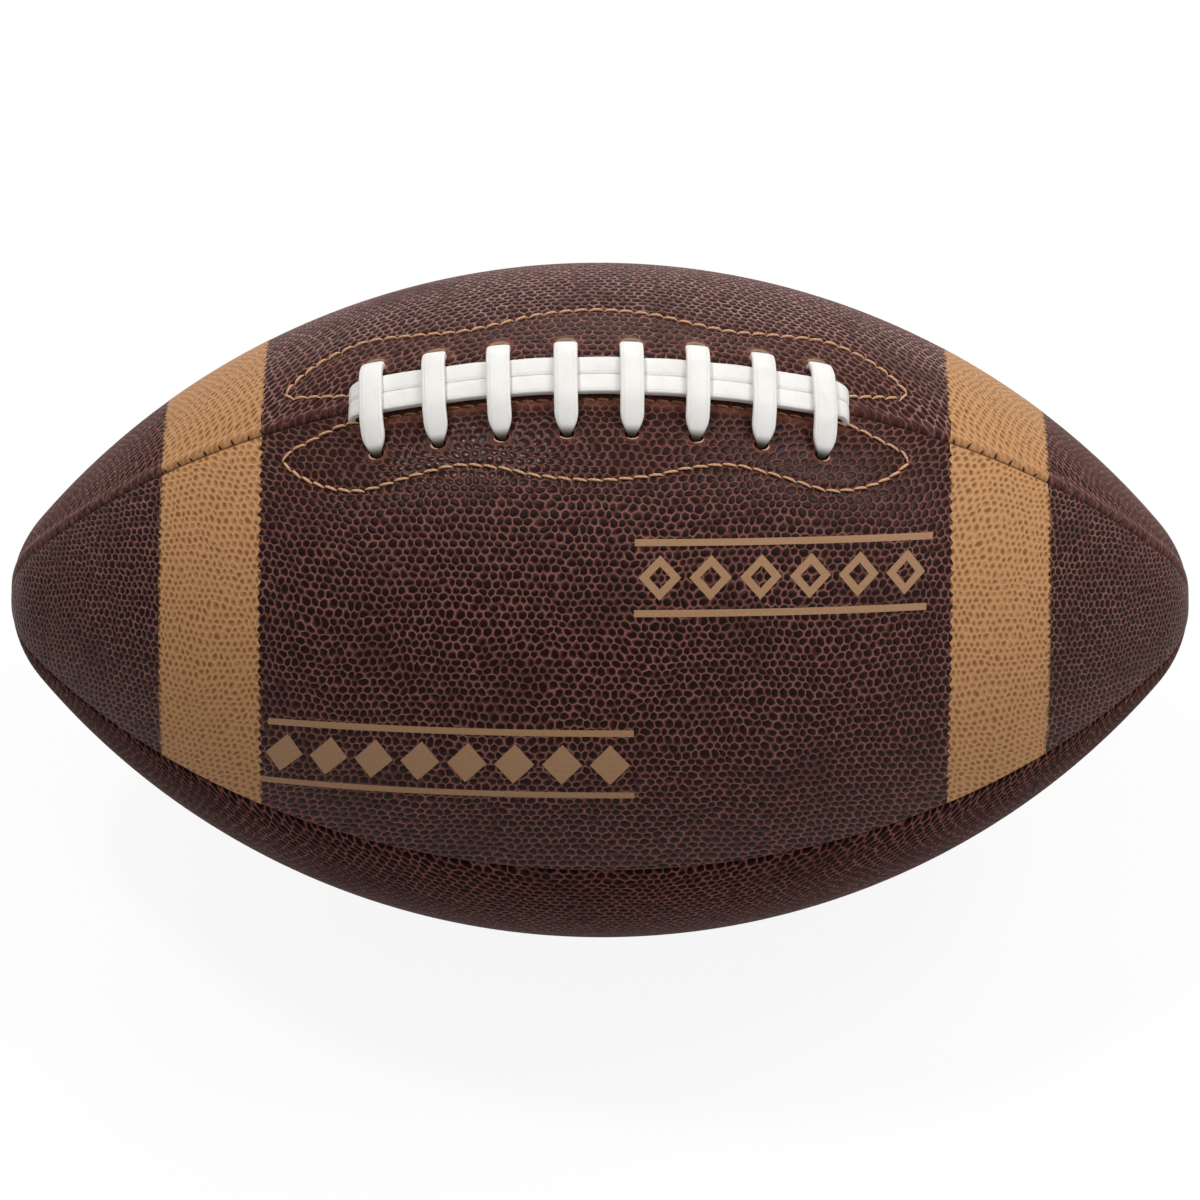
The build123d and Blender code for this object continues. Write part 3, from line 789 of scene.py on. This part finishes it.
# Each warp of the pebble rows has a noise scale and a reach; other pebble sizes are in pitches.
PEBBLE_WARPS = [(32.0, 5.0 * MM), (240.0, 2.2 * MM)]
PEBBLE_JITTER = 0.2
PEBBLE_CURVE = -3.6
HALF_STEP = (0.5, 0.5, 0.5)
PLEAT_TURN = 2 * math.pi / (2.1 * MM)
PLEAT_STRAY = 24.0
LACE_LINE = 2.05 * MM
LACE_LINE_HALF = 0.22 * MM
# Lengths along a strap over which the painted shade of its sunk ends fades out.
LACE_SHADE_SPAN = (4.6 * MM, 6.9 * MM)
FIBRE_STRETCH = 0.08

# Each printed band has a middle on the flattened leather, a half length, a pitch and a hollow.
PRINT_BANDS = [
    ((-36 * MM, 31 * MM), 44 * MM, 11 * MM, -1.0),
    ((44 * MM, -15 * MM), 36 * MM, 12 * MM, 0.5),
]
DIAMOND = 5.4 * MM
DIAMOND_SHARE = 0.42
RULE_OFFSET = 8.4 * MM
RULE_WIDTH = 1.7 * MM


class Finish:
    """Builds one node material."""

    def __init__(self, name):
        self.material = bpy.data.materials.new(name)
        self.material.use_nodes = True
        self.tree = self.material.node_tree
        self.surface = self.tree.nodes["Principled BSDF"]

    def feed(self, socket, value):
        """Links a socket or sets its value."""
        if isinstance(value, bpy.types.NodeSocket):
            self.tree.links.new(value, socket)
        else:
            socket.default_value = value

    def node(self, kind, settings=None, **inputs):
        """New node with settings and named inputs."""
        node = self.tree.nodes.new("ShaderNode" + kind)
        for key, value in (settings or {}).items():
            setattr(node, key, value)
        for key, value in inputs.items():
            self.feed(node.inputs[key.replace("_", " ")], value)
        return node

    def filled(self, kind, settings, values, places=(0, 1, 2)):
        """Outputs of a new node with values fed to the inputs at given places."""
        node = self.node(kind, settings)
        for place, value in zip(places, values):
            self.feed(node.inputs[place], value)
        return node.outputs

    def math(self, operation, *values):
        """Math node on up to three values."""
        return self.filled("Math", {"operation": operation}, values)[0]

    def times(self, value, factor):
        """Product of two values."""
        return self.math("MULTIPLY", value, factor)

    def line(self, value, slope, base):
        """A value times a slope, over a base."""
        return self.math("MULTIPLY_ADD", value, slope, base)

    def rest(self, value):
        """What a value leaves of 1."""
        return self.math("SUBTRACT", 1.0, value)

    def apart(self, value, other):
        """Distance between two values."""
        return self.math("ABSOLUTE", self.math("SUBTRACT", value, other))

    def wave(self, angle):
        """Sine of an angle, from 0 to 1."""
        return self.line(self.math("SINE", angle), 0.5, 0.5)

    def vector(self, operation, *values):
        """Vector math node on up to three vectors."""
        return self.filled("VectorMath", {"operation": operation}, values)[0]

    def length(self, vector):
        """Length of a vector."""
        return self.filled("VectorMath", {"operation": "LENGTH"}, [vector])["Value"]

    def ramp(self, value, low, high):
        """Smooth step from 0 at low to 1 at high."""
        settings = {"interpolation_type": "SMOOTHSTEP"}
        return self.node("MapRange", settings, Value=value, From_Min=low, From_Max=high).outputs[0]

    def mix(self, factor, first, second):
        """Mix of two colours."""
        return self.filled("Mix", {"data_type": "RGBA"}, (factor, first, second), (0, 6, 7))[2]

    def blend(self, factor, first, second):
        """Mix of two numbers."""
        return self.filled("Mix", {"data_type": "FLOAT"}, (factor, first, second), (0, 2, 3))[0]

    def noise(self, vector, scale, detail=3.0, roughness=0.6):
        """Noise value; the scale is per metre."""
        node = self.node("TexNoise", None, Vector=vector, Scale=scale, Detail=detail, Roughness=roughness)
        return node.outputs["Fac"]

    def shift(self, vector, scale, amount):
        """Vector moved by a noise of a given scale and reach."""
        noise = self.node("TexNoise", None, Vector=vector, Scale=scale, Detail=1.0).outputs["Color"]
        centred = self.vector("SUBTRACT", noise, HALF_STEP)
        return self.vector("MULTIPLY_ADD", centred, (amount, amount, 0), vector)

    def map(self, name):
        """UV map."""
        return self.node("UVMap", {"uv_map": name}).outputs["UV"]

    def place(self):
        """Coordinates on the object."""
        return self.node("TexCoord").outputs["Object"]

    def parts(self, vector):
        """First two components of a vector."""
        node = self.node("SeparateXYZ", None, Vector=vector)
        return node.outputs[0], node.outputs[1]

    def finish(self, color, roughness, height=None, distance=0.0001, specular=0.5, **constants):
        """Connects the surface; constant values go on its own sockets."""
        self.feed(self.surface.inputs["Base Color"], color)
        self.feed(self.surface.inputs["Roughness"], roughness)
        self.surface.inputs["Specular IOR Level"].default_value = specular
        for key, value in constants.items():
            self.surface.inputs[key.replace("_", " ")].default_value = value
        if height is not None:
            bump = self.node("Bump", None, Height=height, Distance=distance)
            self.feed(self.surface.inputs["Normal"], bump.outputs[0])
        return self.material


def pebbles(look, leather):
    """Distances from the nearest pebble's edge and middle, in pitches, and a number for it."""
    warped = leather
    for scale, reach in PEBBLE_WARPS:
        warped = look.shift(warped, scale, reach)
    place = look.vector("MULTIPLY", warped, (1 / PEBBLE_PITCH, 1 / PEBBLE_PITCH, 0))
    high = (0.5, PEBBLE_ROW, 1)
    low = (-0.5, -PEBBLE_ROW, -1)
    even = look.vector("WRAP", place, high, low)
    odd = look.vector("WRAP", look.vector("ADD", place, (0.5, PEBBLE_ROW, 0)), high, low)
    nearer = look.math("LESS_THAN", look.length(odd), look.length(even))
    local = look.vector("MULTIPLY_ADD", look.vector("SUBTRACT", odd, even), nearer, even)
    middle = look.vector("MULTIPLY", look.vector("SUBTRACT", place, local), (2, 1 / PEBBLE_ROW, 0))
    cell = look.vector("FLOOR", look.vector("ADD", middle, HALF_STEP))
    chance = look.node("TexWhiteNoise", {"noise_dimensions": "2D"}, Vector=cell)
    moved = look.vector("SUBTRACT", chance.outputs["Color"], HALF_STEP)
    moved = look.vector("MULTIPLY_ADD", moved, (PEBBLE_JITTER, PEBBLE_JITTER, 0), local)
    x, y = look.parts(look.vector("ABSOLUTE", local))
    slant = look.line(y, PEBBLE_ROW, look.times(x, 0.5))
    edge = look.math("SUBTRACT", 0.5, look.math("MAXIMUM", x, slant))
    return edge, look.length(moved), chance.outputs["Value"]


def pebble_dome(look, edge, middle):
    """Height of the pebbles, round on top and low along their edges."""
    dome = look.line(look.times(middle, middle), PEBBLE_CURVE, 1.0)
    return look.times(look.math("MAXIMUM", dome, 0.0), look.ramp(edge, -0.02, 0.12))


def print_band(look, leather, middle, half, pitch, hollow):
    """One printed row of diamonds between two rules, as a mask on flattened leather."""
    u, v = look.parts(leather)
    along = look.math("SUBTRACT", u, middle[0])
    across = look.apart(v, middle[1])
    inside = look.math("LESS_THAN", look.math("ABSOLUTE", along), half)
    wrapped = look.apart(look.math("FLOORED_MODULO", along, pitch), pitch / 2)
    wide = look.times(wrapped, 1 / (DIAMOND_SHARE * pitch))
    diamond = look.math("ADD", wide, look.times(across, 1 / DIAMOND))
    shape = look.math("LESS_THAN", diamond, 1.0)
    shape = look.times(shape, look.math("GREATER_THAN", diamond, hollow))
    rule = look.apart(across, RULE_OFFSET)
    shape = look.math("MAXIMUM", shape, look.math("LESS_THAN", rule, RULE_WIDTH / 2))
    return look.times(shape, inside)


def bead_pleats(look, leather, tip):
    """Pleats along the bead, and their colour: painted shade in the pleat hollows, lighter on the crests,
    paler on the tips.
    """
    wander = look.noise(leather, 260.0, 2.0, 0.5)
    turn = look.times(look.parts(leather)[0], PLEAT_TURN)
    pleat = look.wave(look.line(wander, PLEAT_STRAY, turn))
    return pleat, look.mix(tip, look.mix(pleat, *BEAD_PLEAT_SHADE), look.mix(pleat, *TIP_PLEAT_SHADE))


def cover_leather(name, printed, relief, specular, sheen, ridge, near):
    """Dark pebbled leather whose ridges change colour near the lace and on the tips."""
    look = Finish(name)
    leather = look.map("pattern")
    edge, middle, number = pebbles(look, leather)
    bare, flat = look.parts(look.map("wear"))
    place, roll = look.parts(look.map("zone"))
    dense = look.math("MAXIMUM", place, 0.0)
    tip = look.math("MAXIMUM", look.times(place, -1.0), 0.0)
    patches = look.noise(leather, 45.0)
    grain = look.noise(leather, 1500.0)

    radius = look.line(dense, 0.06, look.line(number, 0.13, 0.295))
    dot = look.ramp(look.math("SUBTRACT", radius, middle), -0.055, 0.055)
    dot = look.times(dot, look.ramp(edge, 0.02, 0.09))
    dot = look.times(dot, look.line(flat, -0.75, 1.0))
    breaks = look.ramp(look.noise(leather, 420.0, 2.0, 0.5), 0.20, 0.62)
    web = look.times(look.rest(look.ramp(edge, 0.0, 0.16)), breaks)
    ridge = look.mix(tip, look.mix(dense, ridge, near), END_RIDGE)
    valley = look.mix(web, VALLEY_DYE, ridge)
    valley = look.mix(look.ramp(patches, 0.45, 0.8), valley, VALLEY_PATCH)
    # Pebble tops beside the lace are lightened: a painted sheen.
    top = look.mix(look.times(dense, 0.6), look.mix(grain, *DOT_DYE), DOT_SHEEN)
    color = look.mix(dot, valley, top)
    # Raw leather colour where bare, which also carries the painted highlight along the seam edges.
    color = look.mix(bare, color, look.mix(grain, *RAW_LEATHER))

    dome = pebble_dome(look, edge, middle)
    dome = look.times(dome, look.line(flat, -0.7, 1.0))
    dome = look.times(dome, look.line(dense, -0.55, 1.0))
    height = look.line(grain, 0.10, dome)
    gloss = look.line(dense, -0.26, look.line(number, 0.10, 0.42))
    roughness = look.blend(dot, 0.60, gloss)

    pleat, pleat_shade = bead_pleats(look, leather, tip)
    # Painted shade in the pleat hollows of the bead.
    color = look.mix(look.times(roll, 0.6), color, pleat_shade)
    height = look.line(look.times(pleat, roll), 0.18, height)
    roughness = look.blend(roll, roughness, 0.22)
    if printed:
        mask = look.math("MAXIMUM", *[print_band(look, leather, *band) for band in PRINT_BANDS])
        color = look.mix(mask, color, look.mix(grain, *PRINT_INK))
        height = look.blend(mask, height, look.times(height, 0.18))
        roughness = look.blend(mask, roughness, 0.55)
    sheens = {"Sheen_Weight": sheen, "Sheen_Tint": SHEEN_TINT}
    return look.finish(color, roughness, height, relief, specular, **sheens)


def stripe_leather():
    """Pale pebbled leather of the stripes, with painted shade where it turns down into a seam."""
    look = Finish("stripe_leather")
    leather = look.vector("MULTIPLY", look.map("pattern"), (1.16, 1.08, 1))
    edge, middle, number = pebbles(look, leather)
    seam_shade, roll = look.parts(look.map("zone"))
    plain = look.line(roll, -0.8, 1.0)
    grain = look.noise(leather, 1300.0)
    patches = look.noise(leather, 60.0)
    radius = look.line(number, 0.15, 0.12)
    dot = look.times(look.ramp(look.math("SUBTRACT", radius, middle), -0.12, 0.09), plain)
    web = look.rest(look.ramp(edge, 0.0, 0.20))
    color = look.mix(dot, look.mix(web, *STRIPE_PALE), STRIPE_DOT)
    color = look.mix(look.times(patches, 0.25), color, STRIPE_PATCH)
    # Painted shade where the stripe turns down into a seam.
    color = look.mix(look.times(seam_shade, 0.9), color, STRIPE_SEAM_SHADE)
    height = look.line(grain, 0.10, look.times(pebble_dome(look, edge, middle), plain))
    return look.finish(color, look.blend(dot, 0.60, 0.45), height, 0.14 * MM, 0.14)


def lace_plastic():
    """White coated strap with fine lines along its edges, faint soiling and painted shade where its ends
    sink into the holes.
    """
    look = Finish("lace_strap")
    along, across = look.parts(look.map("strap"))
    off_line = look.apart(look.math("ABSOLUTE", across), LACE_LINE)
    groove = look.rest(look.ramp(off_line, 0.0, LACE_LINE_HALF))
    stretched = look.node("CombineXYZ", None, X=look.times(along, FIBRE_STRETCH), Y=across)
    fibre = look.noise(stretched.outputs[0], 2600.0, 2.0)
    soil = look.ramp(look.noise(look.place(), 130.0, 4.0, 0.65), 0.42, 0.80)
    color = look.mix(soil, *LACE_WHITE)
    color = look.mix(look.times(groove, 0.25), color, LACE_GROOVE)
    # Painted shade where the strap ends sink into the holes.
    color = look.mix(look.rest(look.ramp(along, *LACE_SHADE_SPAN)), color, LACE_SUNK_SHADE)
    height = look.math("SUBTRACT", look.times(fibre, 0.25), groove)
    return look.finish(color, look.blend(fibre, 0.42, 0.58), height, 0.06 * MM, 0.4)


def thread(name, dark, light, pitch):
    """Twisted thread, with painted shade between the plies and a painted highlight on them."""
    look = Finish(name)
    along, turn = look.parts(look.map("thread"))
    twist = look.times(along, 2 * math.pi / pitch)
    ply = look.wave(look.math("ADD", twist, look.times(turn, 2.0)))
    fuzz = look.noise(look.place(), 2500.0)
    # Darker between the plies and lighter on them: painted shade and highlight.
    color = look.mix(look.blend(0.4, ply, fuzz), dark, light)
    return look.finish(color, 0.55, ply, 0.02 * MM, 0.3, Sheen_Weight=0.1)


def plain_weave(name, dark, light, pitch):
    """Woven cloth."""
    look = Finish(name)
    x, y = look.parts(look.shift(look.place(), 60.0, 1.0 * MM))
    warp = look.math("SINE", look.times(x, 2 * math.pi / pitch))
    weft = look.math("SINE", look.times(y, 2 * math.pi / pitch))
    weave = look.line(look.times(warp, weft), 0.5, 0.5)
    return look.finish(look.mix(weave, dark, light), 0.85, weave, 0.15 * MM, 0.2)


def rubber(name, dark, light, scale):
    """Matte moulded rubber with a fine grain and dust."""
    look = Finish(name)
    place = look.place()
    grain = look.noise(place, scale, 4.0)
    dust = look.ramp(look.noise(place, 90.0, 4.0), 0.4, 0.75)
    color = look.mix(dust, dark, light)
    return look.finish(color, look.blend(grain, 0.55, 0.75), grain, 0.05 * MM, 0.35)


def inner_leather(name, dark, light):
    """Undyed split leather."""
    look = Finish(name)
    fibre = look.noise(look.place(), 900.0, 5.0, 0.65)
    return look.finish(look.mix(fibre, dark, light), 0.8, fibre, 0.2 * MM, 0.25)


# Assembly of the visible pieces.
cover = {
    "front": cover_leather("cover_leather_front", True, 0.26 * MM, 0.10, 0.04, RED_RIDGE, DULL_RIDGE),
    # The rear panel's pale ridges are a painted highlight.
    "rear": cover_leather("cover_leather_rear", False, 0.40 * MM, 0.04, 0.15, HIGHLIGHT_RIDGE, TAN_RIDGE),
    None: cover_leather("cover_leather_lower", False, 0.22 * MM, 0.01, 0.0, RED_RIDGE, RED_RIDGE),
}
pale = stripe_leather()
for panel in PANELS:
    side = panel.lace_side
    shell = build_panel(panel, cover[side])
    if side:
        hole = HOLES[side]
        offset = hole.sign * hole.offset
        places = [(run, offset / meridian(run)[1]) for run in lace_runs(offset)]
        drill(shell, hole_cutter(places, hole.long, hole.short))
        for word in ("left", "right"):
            node = f"stripe_{side}_{word}"
            belongs(build_stripe(panel, node, pale), "stripe_leather", node)
    if panel.name == "panel_lower_rear":
        drill(shell, hole_cutter([(0.0, VALVE_ANGLE)], VALVE_HOLE, VALVE_HOLE))
    belongs(shell, "cover_leather", panel.name)

straps = [cross_strap(number) for number in range(LACE_COUNT)]
straps += [runner_strap(side) for side in (-1, 1)]
vertices, faces, values = merged(straps)
lace = add_mesh("lace_strap", vertices, faces, lace_plastic(), {"strap": values})
belongs(lace, "lace_strap", "lace")

cut = {
    "front": inner_leather("cut_leather", (0.40, 0.22, 0.13, 1), (0.74, 0.50, 0.36, 1)),
    # The rear rims are a darker copy of the cut leather: painted shade on the far wall of each hole.
    "rear": inner_leather("shaded_cut_leather", (0.20, 0.135, 0.085, 1), (0.38, 0.29, 0.20, 1)),
}
for side, material in cut.items():
    vertices, faces, _ = hole_rims(side)
    rims = add_mesh(f"hole_rims_{side}", vertices, faces, material)
    belongs(rims, "cover_leather")

gold = thread("facing_thread", (0.50, 0.25, 0.115, 1), (0.80, 0.47, 0.26, 1), 1.1 * MM)
# A darker copy of the stitch thread: painted shade for the stitches beside the runners.
in_shade = thread("runner_shade_thread", (0.14, 0.06, 0.028, 1), (0.46, 0.235, 0.11, 1), 1.1 * MM)
for side in ("front", "rear"):
    for shaded, material in ((False, gold), (True, in_shade)):
        vertices, faces, values = stitch_row(side, shaded)
        name = f"stitches_{side}_worn" if shaded else f"stitches_{side}"
        row = add_mesh(name, vertices, faces, material, {"thread": values})
        belongs(row, "facing_thread", f"facing_thread_{side}")

dark = thread("seam_thread", (0.010, 0.006, 0.005, 1), (0.030, 0.016, 0.012, 1), 0.9 * MM)
for side, word in ((-1, "left"), (1, "right")):
    vertices, faces, values = seam_ticks(side)
    ticks = add_mesh(f"seam_ticks_{word}", vertices, faces, dark, {"thread": values})
    belongs(ticks, "seam_thread")

# Finishes of the pieces inside, which keep their own meshes.
inside = {
    "lining_": plain_weave("lining_cloth", (0.52, 0.49, 0.43, 1), (0.78, 0.75, 0.69, 1), 1.2 * MM),
    "lace_facing_": inner_leather("facing_leather", (0.16, 0.065, 0.034, 1), (0.38, 0.18, 0.10, 1)),
    "lace_guard": plain_weave("guard_sheet", (0.16, 0.155, 0.15, 1), (0.27, 0.26, 0.25, 1), 1.6 * MM),
    "bladder": rubber("bladder_rubber", (0.03, 0.03, 0.03, 1), (0.07, 0.068, 0.065, 1), 700.0),
    "valve_": rubber("valve_rubber", (0.018, 0.018, 0.018, 1), (0.05, 0.048, 0.046, 1), 1500.0),
    "seam_thread_": plain_weave("inner_thread", (0.05, 0.03, 0.02, 1), (0.14, 0.085, 0.06, 1), 0.5 * MM),
}
for name, node in frame["nodes"].items():
    for start, material in inside.items():
        if name.startswith(start):
            node.data.materials.clear()
            node.data.materials.append(material)

# Floor, light and camera. Each lamp has a name, a place, a size and a power.
FLOOR_HALF = 4.0
GLOW = 1.10
GLOW_SHARE = 0.82
LAMPS = [
    ("key_left", (-0.6, 0.25, 1.8), 0.25, 12.8),
    ("key_right", (1.06, 0.26, 1.68), 0.9, 14.1),
    ("rear", (0.0, 2.2, 0.9), 1.2, 21.0),
    ("side", (2.0, -1.0, 0.7), 1.2, 8.0),
]
SKY_STRENGTH = 0.30
CAMERA_RISE = math.radians(51.8)
CAMERA_DISTANCE = 2.2
CAMERA_ROLL = math.radians(0.27)
CAMERA_LENS = 269.7


def floor_white():
    """Pale floor that keeps a soft shadow."""
    look = Finish("floor_white")
    grey = look.mix(look.noise(look.place(), 3.0, 2.0, 0.5), *FLOOR_GREY)
    look.finish(grey, 0.9, specular=0.0)
    path = look.node("LightPath")
    seen = look.math("MAXIMUM", path.outputs["Is Camera Ray"], path.outputs["Is Glossy Ray"])
    seen = look.math("MAXIMUM", seen, path.outputs["Is Transmission Ray"])
    glow = look.node("Emission", None, Color=WHITE, Strength=GLOW)
    both = look.node("MixShader")
    look.feed(both.inputs[0], look.times(seen, GLOW_SHARE))
    look.feed(both.inputs[1], look.surface.outputs[0])
    look.feed(both.inputs[2], glow.outputs[0])
    look.feed(look.tree.nodes["Material Output"].inputs["Surface"], both.outputs[0])
    return look.material


sides = ((-1, -1), (1, -1), (1, 1), (-1, 1))
corners = [(x * FLOOR_HALF, y * FLOOR_HALF, cad_box[0][2]) for x, y in sides]
floor = add_mesh("floor", corners, [[0, 1, 2, 3]], floor_white())

scene = bpy.context.scene
for name, place, size, power in LAMPS:
    data = bpy.data.lights.new(name, "AREA")
    data.size = size
    data.energy = power
    lamp = bpy.data.objects.new(name, data)
    scene.collection.objects.link(lamp)
    lamp.location = place
    lamp.rotation_euler = (-Vector(place)).to_track_quat("-Z", "Y").to_euler()

scene.world = bpy.data.worlds.new("studio")
scene.world.use_nodes = True
sky = scene.world.node_tree.nodes["Background"]
sky.inputs["Color"].default_value = WHITE
sky.inputs["Strength"].default_value = SKY_STRENGTH
scene.view_settings.view_transform = "Standard"

camera_data = bpy.data.cameras.new("camera")
camera_data.lens = CAMERA_LENS
camera = bpy.data.objects.new("camera", camera_data)
scene.collection.objects.link(camera)
place = CAMERA_DISTANCE * Vector((0, -math.cos(CAMERA_RISE), math.sin(CAMERA_RISE)))
aim = (-place).to_track_quat("-Z", "Y").to_matrix().to_4x4()
camera.matrix_world = Matrix.Translation(place) @ aim @ Matrix.Rotation(CAMERA_ROLL, 4, "Z")
scene.camera = camera
